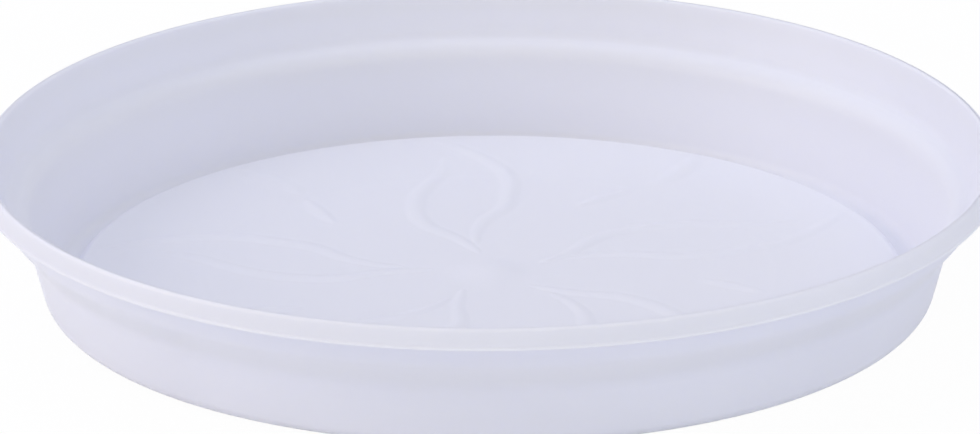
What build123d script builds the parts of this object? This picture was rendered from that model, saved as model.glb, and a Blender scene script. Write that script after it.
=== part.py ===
from build123d import *

import os
from math import cos, radians, sin, sqrt, tan

# Plant saucer, 200 mm across, moulded in one plastic. Millimetres, +Z up, with the origin on the
# ground under the middle of the dish. The members of the moulding meet face to face.

# Overall size
overall_diameter = 200.0
overall_height = 28.6

# Floor, raised off the ground, and the water channel around it that the dish stands on
wall_thickness = 1.5
floor_top = 4.0
floor_panel_radius = 79.0
floor_edge_radius = 80.9
floor_edge_round = 2.0
channel_bottom_radius = 81.9
channel_inner_round = 0.9
channel_outer_round = 2.4
foot_inner_radius = 79.6
foot_inner_draft = 0.2

# Side wall, which leans outwards from the foot
wall_ground_radius = 86.7
wall_lean = 15.2
wall_top = 11.5
foot_round = 3.4

# Ledge, where the wall turns outwards for the next saucer in a stack. It is a clear step inside,
# and a soft S outside.
ledge_inner_height = 19.0
ledge_outer_radius = 94.3
ledge_outer_height = 20.45
ledge_round = 3.5
ledge_hollow = 1.6
ledge_under_start = 13.5
ledge_under_end = 19.5
ledge_under_round = 8.0
ledge_joint_height = 21.5

# Flare above the ledge, and the thick lip around its edge
flare_lean = 23.8
lip_bottom = 24.3
lip_face_radius = 99.55
lip_face_top = 26.4
lip_face_round = 2.5
crest_radius = 98.5
crest_inner_round = 0.35
crest_outer_round = 0.5
bead_start_height = 25.3
bead_height = 24.9
bead_round = 0.3

# Swelling in the middle of the floor, and the stub under it where the plastic was fed in
boss_radius = 9.0
boss_height = 0.4
gate_radius = 1.5
gate_height = 0.6
gate_round = 0.3

# Ribs on the floor. Each spine is a list of (radius, degrees from the leaf's axis).
leaf_count = 5
first_leaf_axis = 27.0
rib_width = 4.2
rib_height = 0.4
rib_end_share = 0.3
rib_sections = 13
left_spine = [(11.6, 1), (20.4, 9), (29, 15.5), (37, 14), (44.6, 10), (51.4, 5), (58, 0.5), (67, -1.5)]
right_spine = [
    (17.4, -1), (23, -2.5), (30, -7.5), (37, -13.5), (44.6, -14),
    (53, -13.5), (62, -10.3), (71, -5.3), (78, -1.2),
]
inner_ray_width = 3.6
inner_ray_spine = [(42, 38), (46, 36), (50, 34.4), (55, 32)]
outer_ray_width = 5.0
outer_ray_spine = [(59.5, 30.2), (64, 29.6), (69, 29.7), (73.5, 30.2), (78, 31.5)]

# Worked out from the values above
floor_underside = floor_top - wall_thickness
wall_slope = tan(radians(wall_lean))
wall_width = wall_thickness / cos(radians(wall_lean))
flare_slope = tan(radians(flare_lean))
flare_width = wall_thickness / cos(radians(flare_lean))

os.makedirs("parts", exist_ok=True)


def wall_outside(height):
    """Point on the outside of the side wall."""
    return (wall_ground_radius + wall_slope * height, height)


def wall_inside(height):
    """Point on the inside of the side wall."""
    return (wall_ground_radius + wall_slope * height - wall_width, height)


def flare_inside(height):
    """Point on the inside of the flare."""
    return (ledge_outer_radius + flare_slope * (height - ledge_outer_height), height)


def flare_outside(height):
    """Point on the outside of the flare."""
    return (flare_inside(height)[0] + flare_width, height)


def corner(sketch, place):
    """The sketch's vertex nearest to a point of the section."""
    return sketch.vertices().sort_by_distance(Vector(place[0], place[1], 0))[0]


def finish(part, name):
    """Names a finished member and writes it."""
    part.label = name
    export_step(part, "parts/" + name + ".step")


# Floor panel that the pot stands on
with BuildPart() as floor_panel:
    with BuildSketch(Plane.XY.offset(floor_underside)):
        Circle(floor_panel_radius)
    extrude(amount=wall_thickness)
finish(floor_panel.part, "floor_panel")

# Channel around the floor, folded down to the ground on its underside
channel_top_outer = wall_outside(floor_top)
channel_inner = (channel_bottom_radius, wall_thickness)
channel_outer = wall_inside(wall_thickness)
foot_outer = wall_outside(0)
with BuildPart() as foot_channel:
    with BuildSketch(Plane.XZ) as channel_section:
        with BuildLine():
            Polyline(
                (floor_panel_radius, floor_underside),
                (foot_inner_radius - foot_inner_draft, floor_underside),
                (foot_inner_radius, 0),
                foot_outer,
                channel_top_outer,
                wall_inside(floor_top),
                channel_outer,
                channel_inner,
                (floor_edge_radius, floor_top),
                (floor_panel_radius, floor_top),
                close=True,
            )
        make_face()
        fillet(corner(channel_section, foot_outer), radius=foot_round)
        fillet(corner(channel_section, channel_outer), radius=channel_outer_round)
        fillet(corner(channel_section, channel_inner), radius=channel_inner_round)
        fillet(corner(channel_section, (floor_edge_radius, floor_top)), radius=floor_edge_round)
    revolve(axis=Axis.Z)
finish(foot_channel.part, "foot_channel")

# Side wall
with BuildPart() as side_wall:
    with BuildSketch(Plane.XZ):
        with BuildLine():
            Polyline(
                wall_inside(floor_top),
                wall_outside(floor_top),
                wall_outside(wall_top),
                wall_inside(wall_top),
                close=True,
            )
        make_face()
    revolve(axis=Axis.Z)
finish(side_wall.part, "side_wall")

# Ledge
under_inner = wall_outside(ledge_under_start)
under_outer = flare_outside(ledge_under_end)
ledge_inner = wall_inside(ledge_inner_height)
ledge_outer = (ledge_outer_radius, ledge_outer_height)
with BuildPart() as rim_ledge:
    with BuildSketch(Plane.XZ) as ledge_section:
        with BuildLine():
            Polyline(
                wall_inside(wall_top),
                wall_outside(wall_top),
                under_inner,
                under_outer,
                flare_outside(ledge_joint_height),
                flare_inside(ledge_joint_height),
                ledge_outer,
                ledge_inner,
                close=True,
            )
        make_face()
        fillet(corner(ledge_section, ledge_inner), radius=ledge_round)
        fillet(corner(ledge_section, ledge_outer), radius=ledge_hollow)
        fillet(corner(ledge_section, under_inner), radius=ledge_under_round)
        fillet(corner(ledge_section, under_outer), radius=ledge_under_round)
    revolve(axis=Axis.Z)
finish(rim_ledge.part, "rim_ledge")

# Flare between the ledge and the lip
with BuildPart() as rim_flare:
    with BuildSketch(Plane.XZ):
        with BuildLine():
            Polyline(
                flare_inside(ledge_joint_height),
                flare_outside(ledge_joint_height),
                flare_outside(lip_bottom),
                flare_inside(lip_bottom),
                close=True,
            )
        make_face()
    revolve(axis=Axis.Z)
finish(rim_flare.part, "rim_flare")

# Lip, with a round crest and a fine bead along its lower edge
crest_inner = flare_inside(overall_height)
crest_outer = (crest_radius, overall_height)
face_top = (lip_face_radius, lip_face_top)
bead_start = (lip_face_radius, bead_start_height)
bead_upper = (overall_diameter / 2, bead_height)
bead_lower = (overall_diameter / 2, lip_bottom)
with BuildPart() as rim_lip:
    with BuildSketch(Plane.XZ) as lip_section:
        with BuildLine():
            Polyline(
                flare_inside(lip_bottom),
                bead_lower,
                bead_upper,
                bead_start,
                face_top,
                crest_outer,
                crest_inner,
                close=True,
            )
        make_face()
        fillet(corner(lip_section, crest_inner), radius=crest_inner_round)
        fillet(corner(lip_section, crest_outer), radius=crest_outer_round)
        fillet(corner(lip_section, face_top), radius=lip_face_round)
        fillet(corner(lip_section, bead_upper), radius=bead_round)
        fillet(corner(lip_section, bead_lower), radius=bead_round)
    revolve(axis=Axis.Z)
finish(rim_lip.part, "rim_lip")

# Low swelling in the middle of the floor
with BuildPart() as centre_boss:
    with BuildSketch(Plane.XZ):
        with BuildLine():
            boss_top = (0, floor_top + boss_height)
            boss_base = Line(boss_top, (0, floor_top))
            boss_floor = Line(boss_base @ 1, (boss_radius, floor_top))
            TangentArc(boss_top, boss_floor @ 1, tangent=(1, 0))
        make_face()
    revolve(axis=Axis.Z)
finish(centre_boss.part, "centre_boss")

# Stub under the middle of the floor
with BuildPart() as gate_stub:
    with BuildSketch(Plane.XY.offset(floor_underside)):
        Circle(gate_radius)
    extrude(amount=-gate_height)
    fillet(gate_stub.faces().sort_by(Axis.Z)[0].edges(), radius=gate_round)
finish(gate_stub.part, "gate_stub")


def rib_size(station):
    """Share of a rib's full width and height at a station from 0 to 1 along its spine."""
    return rib_end_share + (1 - rib_end_share) * sqrt(max(sin(radians(180 * station)), 0))


def floor_rib(spine_points, axis_angle, width, name):
    """One low rib with a round back that thins out to both ends, lofted along its spine."""
    places = [(radius * cos(radians(axis_angle + turn)), radius * sin(radians(axis_angle + turn)))
              for radius, turn in spine_points]
    with BuildLine(Plane.XY.offset(floor_top)) as spine:
        Spline(*places)
    with BuildPart() as rib:
        for i in range(rib_sections):
            station = i / (rib_sections - 1)
            along = spine.line % station
            across = Vector(0, 0, 1).cross(along)
            half_width = rib_size(station) * width / 2
            height = rib_size(station) * rib_height
            with BuildSketch(Plane(origin=spine.line @ station, x_dir=across, z_dir=along)):
                with BuildLine():
                    rib_base = Line((-half_width, 0), (half_width, 0))
                    ThreePointArc(rib_base @ 1, (0, height), rib_base @ 0)
                make_face()
        loft(ruled=True)
    finish(rib.part, name)


# Five leaves outlined by pairs of ribs, with a ray between each two, broken near its middle
for leaf in range(leaf_count):
    leaf_axis = first_leaf_axis + leaf * 360 / leaf_count
    number = str(leaf + 1)
    floor_rib(left_spine, leaf_axis, rib_width, "leaf_rib_left_" + number)
    floor_rib(right_spine, leaf_axis, rib_width, "leaf_rib_right_" + number)
    floor_rib(inner_ray_spine, leaf_axis, inner_ray_width, "ray_rib_inner_" + number)
    floor_rib(outer_ray_spine, leaf_axis, outer_ray_width, "ray_rib_outer_" + number)
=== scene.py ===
from math import acos, ceil, cos, pi, radians, sin, sqrt, tan

import bpy
import numpy as np
from mathutils import Matrix, Vector


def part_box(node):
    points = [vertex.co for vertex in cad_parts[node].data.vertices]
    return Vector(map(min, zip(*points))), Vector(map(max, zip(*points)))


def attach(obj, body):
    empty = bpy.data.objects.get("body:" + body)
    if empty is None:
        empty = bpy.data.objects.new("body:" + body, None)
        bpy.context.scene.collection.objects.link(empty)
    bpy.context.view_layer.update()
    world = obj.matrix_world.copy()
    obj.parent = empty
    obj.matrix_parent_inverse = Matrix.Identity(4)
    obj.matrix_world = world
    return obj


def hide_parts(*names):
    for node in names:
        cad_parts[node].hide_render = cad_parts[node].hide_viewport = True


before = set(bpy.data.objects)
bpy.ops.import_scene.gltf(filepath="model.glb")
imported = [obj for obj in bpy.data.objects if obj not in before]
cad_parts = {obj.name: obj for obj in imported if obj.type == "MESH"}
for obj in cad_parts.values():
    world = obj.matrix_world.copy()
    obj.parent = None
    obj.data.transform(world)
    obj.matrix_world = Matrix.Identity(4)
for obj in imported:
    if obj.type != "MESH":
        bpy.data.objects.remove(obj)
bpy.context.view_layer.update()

MM = 0.001

# The dish's main sizes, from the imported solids
lip_low, lip_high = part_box("rim_lip")
wall_low, wall_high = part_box("side_wall")
channel_low, channel_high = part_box("foot_channel")
floor_low, floor_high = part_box("floor_panel")
boss_low, boss_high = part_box("centre_boss")
stub_low, stub_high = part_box("gate_stub")
rib_low, rib_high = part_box("leaf_rib_left_1")
dish_radius = lip_high.x
dish_height = lip_high.z
lip_bottom = lip_low.z
floor_top = floor_high.z
floor_underside = floor_low.z
panel_radius = floor_high.x
boss_radius = boss_high.x
boss_height = boss_high.z - floor_top
stub_radius = stub_high.x
rib_height = rib_high.z - floor_top
wall_slope = (wall_high.x - channel_high.x) / (wall_high.z - channel_high.z)
wall_ground_radius = channel_high.x - wall_slope * channel_high.z

# Finer sizes of the section: floor edge, channel and foot, ledge, flare, and lip with its bead
wall_thickness = 1.5 * MM
wall_width = wall_thickness * sqrt(1 + wall_slope**2)
floor_edge_radius = 80.9 * MM
channel_bottom_radius = 81.9 * MM
foot_inner_radius = 79.6 * MM
foot_inner_draft = 0.2 * MM
ledge_inner_height = 19.0 * MM
ledge_outer = (94.3 * MM, 20.45 * MM)
ledge_under_start = 13.5 * MM
ledge_under_end = 19.5 * MM
flare_slope = tan(radians(23.8))
flare_width = wall_thickness * sqrt(1 + flare_slope**2)
crest_radius = dish_radius - 0.85 * MM
bead_height = lip_bottom + 0.6 * MM
bead_start_radius = dish_radius - 0.2 * MM
bead_start_height = lip_bottom + 0.9 * MM


def wall_outside(height):
    """Point on the outside of the side wall."""
    return (wall_ground_radius + wall_slope * height, height)


def wall_inside(height):
    """Point on the inside of the side wall."""
    return (wall_ground_radius + wall_slope * height - wall_width, height)


def flare_inside(height):
    """Point on the inside of the flare."""
    return (ledge_outer[0] + flare_slope * (height - ledge_outer[1]), height)


def flare_outside(height):
    """Point on the outside of the flare."""
    return (flare_inside(height)[0] + flare_width, height)


# Corners of the section outside the floor panel, each with its rounding in millimetres, from the
# panel's edge up the inside, over the lip and down the outside to the panel's underside
section_corners = [
    ((panel_radius, floor_top), 0),
    ((floor_edge_radius, floor_top), 2.0),
    ((channel_bottom_radius, wall_thickness), 0.9),
    (wall_inside(wall_thickness), 2.4),
    (wall_inside(ledge_inner_height), 4.5),
    (ledge_outer, 3.0),
    (flare_inside(dish_height), 0.9),
    ((crest_radius, dish_height), 0.9),
    ((bead_start_radius, bead_start_height), 0.6),
    ((dish_radius, bead_height), 0.3),
    ((dish_radius, lip_bottom), 0.3),
    (flare_outside(lip_bottom), 0.5),
    (flare_outside(ledge_under_end), 8.0),
    (wall_outside(ledge_under_start), 8.0),
    (wall_outside(0), 3.4),
    ((foot_inner_radius, 0), 0.5),
    ((foot_inner_radius - foot_inner_draft, floor_underside), 0.6),
    ((panel_radius, floor_underside), 0),
]

# Spacing of the section's points: along an arc, along a straight run, and beside a run's ends
arc_step = radians(7)
run_step = 1.6 * MM
support_gap = 0.15 * MM


def run_points(start, end):
    """Points from start to end, with one close to each end to keep the shading flat between them."""
    length = (end - start).length
    gap = min(support_gap, length / 4)
    spans = max(1, ceil((length - 2 * gap) / run_step))
    distances = [0] + [gap + (length - 2 * gap) * i / spans for i in range(spans + 1)] + [length]
    return [start.lerp(end, distance / length) for distance in distances]


def rounded_section(corners):
    """The section's points in order, with an arc at each corner that has a rounding."""
    points = [Vector(corners[0][0])]
    for i in range(1, len(corners)):
        here = Vector(corners[i][0])
        rounding = corners[i][1] * MM
        if rounding == 0:
            points += run_points(points[-1], here)[1:]
            continue
        back = (Vector(corners[i - 1][0]) - here).normalized()
        ahead = (Vector(corners[i + 1][0]) - here).normalized()
        half = acos(max(-1, min(1, back.dot(ahead)))) / 2
        reach = rounding / tan(half)
        start = here + back * reach
        end = here + ahead * reach
        centre = here + (back + ahead).normalized() * rounding / sin(half)
        points += run_points(points[-1], start)[1:]
        steps = max(2, ceil((pi - 2 * half) / arc_step))
        turn = (start - centre).angle_signed(end - centre)
        for step in range(1, steps + 1):
            angle = -turn * step / steps
            spoke = start - centre
            points.append(centre + Vector((
                spoke.x * cos(angle) - spoke.y * sin(angle),
                spoke.x * sin(angle) + spoke.y * cos(angle),
            )))
    return points


# Ribs of the floor: five leaves outlined by a left and a right rib, and between each two a ray
# that is broken near its middle. Each spine is a list of (radius in millimetres, degrees from the
# leaf's axis), and each rib has its half width at the foot.
leaf_count = 5
first_leaf_axis = 27.0
rib_end_share = 0.25
left_spine = [(11.6, 1), (20.4, 9), (29, 15.5), (37, 14), (44.6, 10), (51.4, 5), (58, 0.5), (67, -1.5)]
right_spine = [
    (17.4, -1), (23, -2.5), (30, -7.5), (37, -13.5), (44.6, -14),
    (53, -13.5), (62, -10.3), (71, -5.3), (78, -1.2),
]
inner_ray_spine = [(42, 38), (46, 36), (50, 34.4), (55, 32)]
outer_ray_spine = [(59.5, 30.2), (64, 29.6), (69, 29.7), (73.5, 30.2), (78, 31.5)]
ribs = [
    (left_spine, 2.5 * MM),
    (right_spine, 2.5 * MM),
    (inner_ray_spine, 2.2 * MM),
    (outer_ray_spine, 3.1 * MM),
]
spine_steps = 12

# Tops of the ribs and of the swelling in the middle, as shares of the solids' heights
rib_share = 0.85
boss_share = 2.1
rib_top = rib_share * rib_height
boss_top = boss_share * boss_height

# Faint ring on the floor
ring_radius = 56.4 * MM
ring_height = 0.05 * MM
ring_half_width = 1.4 * MM


def smooth_spine(points):
    """A Catmull-Rom curve through the spine's points, with each point's station from 0 to 1."""
    places = np.array([
        (radius * MM * cos(radians(turn)), radius * MM * sin(radians(turn)))
        for radius, turn in points
    ])
    padded = np.vstack([2 * places[0] - places[1], places, 2 * places[-1] - places[-2]])
    curve = []
    for i in range(1, len(padded) - 2):
        before, start, end, after = padded[i - 1:i + 3]
        for t in np.arange(spine_steps) / spine_steps:
            curve.append(0.5 * (
                2 * start
                + (end - before) * t
                + (2 * before - 5 * start + 4 * end - after) * t**2
                + (3 * start - before - 3 * end + after) * t**3
            ))
    curve.append(places[-1])
    curve = np.array(curve)
    lengths = np.concatenate([[0], np.cumsum(np.linalg.norm(np.diff(curve, axis=0), axis=1))])
    return curve, lengths / lengths[-1]


def turned(points, degrees_round):
    """Points of the floor turned about the dish's axis."""
    angle = radians(degrees_round)
    return points @ np.array([[cos(angle), sin(angle)], [-sin(angle), cos(angle)]])


def rib_relief(places, curve, stations, half_width):
    """Height of one rib above the floor at each place, fading out from its spine and to its ends."""
    start = curve[:-1]
    along = np.diff(curve, axis=0)
    offset = places[:, None, :] - start[None]
    share = np.clip((offset * along).sum(2) / (along**2).sum(1), 0, 1)
    distance = np.linalg.norm(offset - share[..., None] * along, axis=2)
    nearest = distance.argmin(axis=1)
    rows = np.arange(len(places))
    station = stations[nearest] + share[rows, nearest] * np.diff(stations)[nearest]
    size = rib_end_share + (1 - rib_end_share) * np.sqrt(np.clip(np.sin(pi * station), 0, 1))
    across = np.clip(distance[rows, nearest] / (half_width * size), 0, 1)
    return rib_top * size * (1 - across**2) ** 2


def floor_relief(places):
    """Height of the floor's ribs, centre swelling and faint ring above its flat face."""
    relief = np.zeros(len(places))
    for spine, half_width in ribs:
        curve, stations = smooth_spine(spine)
        for leaf in range(leaf_count):
            placed = turned(curve, first_leaf_axis + leaf * 360 / leaf_count)
            relief = np.maximum(relief, rib_relief(places, placed, stations, half_width))
    radius = np.linalg.norm(places, axis=1)
    swelling = boss_top * 0.5 * (1 + np.cos(pi * np.clip(radius / boss_radius, 0, 1)))
    ring = ring_height * (1 - np.clip((radius - ring_radius) / ring_half_width, -1, 1) ** 2) ** 2
    return relief + np.maximum(swelling, ring)


floor_batches = 40


def floor_heights(ring_radii, columns):
    """Floor heights on a polar grid, worked out for one leaf's sector and repeated around."""
    sector = columns // leaf_count
    angles = 2 * pi * np.arange(sector) / columns
    radii, turns = np.meshgrid(ring_radii, angles, indexing="ij")
    places = np.stack([radii * np.cos(turns), radii * np.sin(turns)], axis=-1).reshape(-1, 2)
    relief = np.concatenate([floor_relief(batch) for batch in np.array_split(places, floor_batches)])
    return floor_top + np.tile(relief.reshape(len(ring_radii), sector), (1, leaf_count))


wall_columns = 360
floor_columns = 720
floor_ring_step = 0.45 * MM

vertices = []
faces = []


def add_ring(radius, heights):
    """Adds a ring of vertices, and returns their numbers."""
    count = len(heights)
    first = len(vertices)
    for i, height in enumerate(heights):
        angle = 2 * pi * i / count
        vertices.append((radius * cos(angle), radius * sin(angle), height))
    return list(range(first, first + count))


def bridge(inner, outer):
    """Faces between two rings whose upper side faces up when inner lies inside outer."""
    count = len(inner)
    for i in range(count):
        j = (i + 1) % count
        faces.append((inner[i], outer[i], outer[j], inner[j]))


# Upper side of the floor panel, from its middle outwards
floor_rings = int(panel_radius / floor_ring_step)
ring_radii = np.linspace(0, panel_radius, floor_rings + 1)[1:]
heights = floor_heights(ring_radii, floor_columns)
vertices.append((0, 0, floor_top + boss_top))
last_ring = add_ring(ring_radii[0], heights[0])
for i in range(floor_columns):
    faces.append((0, last_ring[i], last_ring[(i + 1) % floor_columns]))
for radius, ring_heights in zip(ring_radii[1:-1], heights[1:-1]):
    ring = add_ring(radius, ring_heights)
    bridge(last_ring, ring)
    last_ring = ring

# Section outside the panel, turned around the axis; its first ring has half as many columns
section = rounded_section(section_corners)
rings = [add_ring(point.x, [point.y] * wall_columns) for point in section]
for i in range(wall_columns):
    j = (i + 1) % wall_columns
    fine = [last_ring[(2 * i + k) % floor_columns] for k in range(3)]
    faces.append((fine[0], rings[0][i], fine[1]))
    faces.append((fine[1], rings[0][i], rings[0][j]))
    faces.append((fine[1], rings[0][j], fine[2]))
for inner, outer in zip(rings, rings[1:]):
    bridge(inner, outer)

# Underside of the floor panel, with the stub where the plastic was fed in
stub_round = 0.3 * MM
stub_chamfer = 0.1 * MM
under_section = run_points(section[-1], Vector((stub_radius, floor_underside)))[1:]
under_section += [
    Vector((stub_radius, stub_low.z + stub_round)),
    Vector((stub_radius - stub_chamfer, stub_low.z + stub_chamfer)),
    Vector((stub_radius - stub_round, stub_low.z)),
]
last_ring = rings[-1]
for point in under_section:
    ring = add_ring(point.x, [point.y] * wall_columns)
    bridge(last_ring, ring)
    last_ring = ring
vertices.append((0, 0, stub_low.z))
for i in range(wall_columns):
    faces.append((len(vertices) - 1, last_ring[(i + 1) % wall_columns], last_ring[i]))

dish_mesh = bpy.data.meshes.new("dish")
dish_mesh.from_pydata(vertices, [], faces)
dish_mesh.polygons.foreach_set("use_smooth", [True] * len(faces))
dish_mesh.update()
dish = bpy.data.objects.new("dish", dish_mesh)
bpy.context.collection.objects.link(dish)
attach(dish, "root")
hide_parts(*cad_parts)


def add_node(tree, kind, **inputs):
    """Adds a shader node and sets its inputs by name."""
    node = tree.nodes.new(kind)
    for name, value in inputs.items():
        node.inputs[name.replace("_", " ")].default_value = value
    return node


# Satin white plastic with a faint blue tint and a fine grain, in which light carries a little way
plastic = bpy.data.materials.new("white_plastic")
plastic.use_nodes = True
tree = plastic.node_tree
shader = tree.nodes["Principled BSDF"]
shader.inputs["Base Color"].default_value = (0.80, 0.81, 0.89, 1)
shader.inputs["Roughness"].default_value = 0.52
shader.inputs["IOR"].default_value = 1.49
shader.inputs["Subsurface Weight"].default_value = 0.8
shader.inputs["Subsurface Radius"].default_value = (1.0, 1.0, 1.0)
shader.inputs["Subsurface Scale"].default_value = 1.0 * MM
place = add_node(tree, "ShaderNodeTexCoord")
grain = add_node(tree, "ShaderNodeTexNoise", Scale=1400.0, Detail=2.0)
tree.links.new(place.outputs["Object"], grain.inputs["Vector"])
bump = add_node(tree, "ShaderNodeBump", Strength=0.06, Distance=0.02 * MM)
tree.links.new(grain.outputs["Fac"], bump.inputs["Height"])
tree.links.new(bump.outputs["Normal"], shader.inputs["Normal"])
dish.data.materials.append(plastic)

# White ground just under the foot, seen as plain white with the dish's shadow faintly on it
ground_size = 6.0
ground_height = -0.02 * MM
plain_share = 0.96
ground_mesh = bpy.data.meshes.new("ground")
half = ground_size / 2
ground_corners = [
    (-half, -half, ground_height),
    (half, -half, ground_height),
    (half, half, ground_height),
    (-half, half, ground_height),
]
ground_mesh.from_pydata(ground_corners, [], [(0, 1, 2, 3)])
ground = bpy.data.objects.new("ground", ground_mesh)
bpy.context.collection.objects.link(ground)
white = bpy.data.materials.new("white_ground")
white.use_nodes = True
tree = white.node_tree
tree.nodes.remove(tree.nodes["Principled BSDF"])
matt = add_node(tree, "ShaderNodeBsdfDiffuse", Color=(0.97, 0.975, 0.99, 1))
plain = add_node(tree, "ShaderNodeEmission", Color=(1, 1, 1, 1), Strength=1.0)
path = add_node(tree, "ShaderNodeLightPath")
seen = tree.nodes.new("ShaderNodeMath")
seen.operation = "MAXIMUM"
tree.links.new(path.outputs["Is Camera Ray"], seen.inputs[0])
tree.links.new(path.outputs["Is Glossy Ray"], seen.inputs[1])
seen_too = tree.nodes.new("ShaderNodeMath")
seen_too.operation = "MAXIMUM"
tree.links.new(seen.outputs[0], seen_too.inputs[0])
tree.links.new(path.outputs["Is Transmission Ray"], seen_too.inputs[1])
plain_part = tree.nodes.new("ShaderNodeMath")
plain_part.operation = "MULTIPLY"
plain_part.inputs[1].default_value = plain_share
tree.links.new(seen_too.outputs[0], plain_part.inputs[0])
mix = tree.nodes.new("ShaderNodeMixShader")
tree.links.new(plain_part.outputs[0], mix.inputs[0])
tree.links.new(matt.outputs[0], mix.inputs[1])
tree.links.new(plain.outputs[0], mix.inputs[2])
tree.links.new(mix.outputs[0], tree.nodes["Material Output"].inputs["Surface"])
ground.data.materials.append(white)

# Even light from all round, as in a white tent
world = bpy.data.worlds.new("tent")
bpy.context.scene.world = world
world.use_nodes = True
tree = world.node_tree
seen_white = tree.nodes["Background"]
seen_white.inputs["Color"].default_value = (1, 1, 1, 1)
seen_white.inputs["Strength"].default_value = 1.0
tent = add_node(tree, "ShaderNodeBackground", Color=(0.98, 0.96, 1, 1), Strength=0.4)
path = add_node(tree, "ShaderNodeLightPath")
mix = tree.nodes.new("ShaderNodeMixShader")
tree.links.new(path.outputs["Is Camera Ray"], mix.inputs[0])
tree.links.new(tent.outputs[0], mix.inputs[1])
tree.links.new(seen_white.outputs[0], mix.inputs[2])
tree.links.new(mix.outputs[0], tree.nodes["World Output"].inputs["Surface"])

lamp_distance = 1.7
lamp_size = 0.9


def softbox(name, azimuth, elevation, power, colour):
    """A square lamp that faces the dish; azimuth counts from the right towards the back."""
    lamp = bpy.data.lights.new(name, "AREA")
    lamp.size = lamp_size
    lamp.color = colour
    lamp.energy = power
    body = bpy.data.objects.new(name, lamp)
    turn = radians(azimuth)
    rise = radians(elevation)
    body.location = Vector((cos(turn) * cos(rise), sin(turn) * cos(rise), sin(rise))) * lamp_distance
    body.rotation_euler = (-body.location).to_track_quat("-Z", "Y").to_euler()
    bpy.context.collection.objects.link(body)


softbox("key_left", 190, 26, 9.9, (0.98, 0.91, 0.82))
softbox("front_low", 270, 10, 4.5, (0.76, 0.83, 1.0))
softbox("front_high", 275, 45, 1.5, (1.0, 0.92, 0.6))
softbox("right_low", 350, 8, 4.6, (0.65, 0.73, 1.0))
softbox("right_front", 310, 40, 4.3, (1.0, 0.96, 0.67))
softbox("left_back", 135, 40, 4.0, (0.71, 0.77, 1.0))
softbox("right_back", 60, 62, 4.6, (0.67, 0.76, 1.0))
softbox("middle_back", 120, 62, 3.5, (0.73, 0.76, 1.0))

# Camera, fitted to the rim, the lip, the foot and the ledge in the photograph
photo_width = 980
fit_radius = dish_radius - 0.45 * MM
camera_distance = 30 * fit_radius
camera_elevation = 0.35104
focal_pixels = 15232.9
pan = -0.0000752
tilt = 0.0048625
roll = 0.0032778

position = Vector((0, -cos(camera_elevation), sin(camera_elevation))) * camera_distance
forward = -position.normalized()
right = Vector((1, 0, 0))
up = right.cross(forward)
turn = Matrix.Rotation(pan, 3, up)
forward, right = turn @ forward, turn @ right
turn = Matrix.Rotation(tilt, 3, right)
forward, up = turn @ forward, turn @ up
turn = Matrix.Rotation(roll, 3, forward)
right, up = turn @ right, turn @ up

camera_data = bpy.data.cameras.new("camera")
camera_data.sensor_fit = "HORIZONTAL"
camera_data.sensor_width = 36.0
camera_data.lens = focal_pixels * camera_data.sensor_width / photo_width
camera_data.clip_start = 0.05
camera = bpy.data.objects.new("camera", camera_data)
camera.matrix_world = Matrix.Translation(position) @ Matrix((right, up, -forward)).transposed().to_4x4()
bpy.context.collection.objects.link(camera)
bpy.context.scene.camera = camera

view = bpy.context.scene.view_settings
view.view_transform = "Standard"
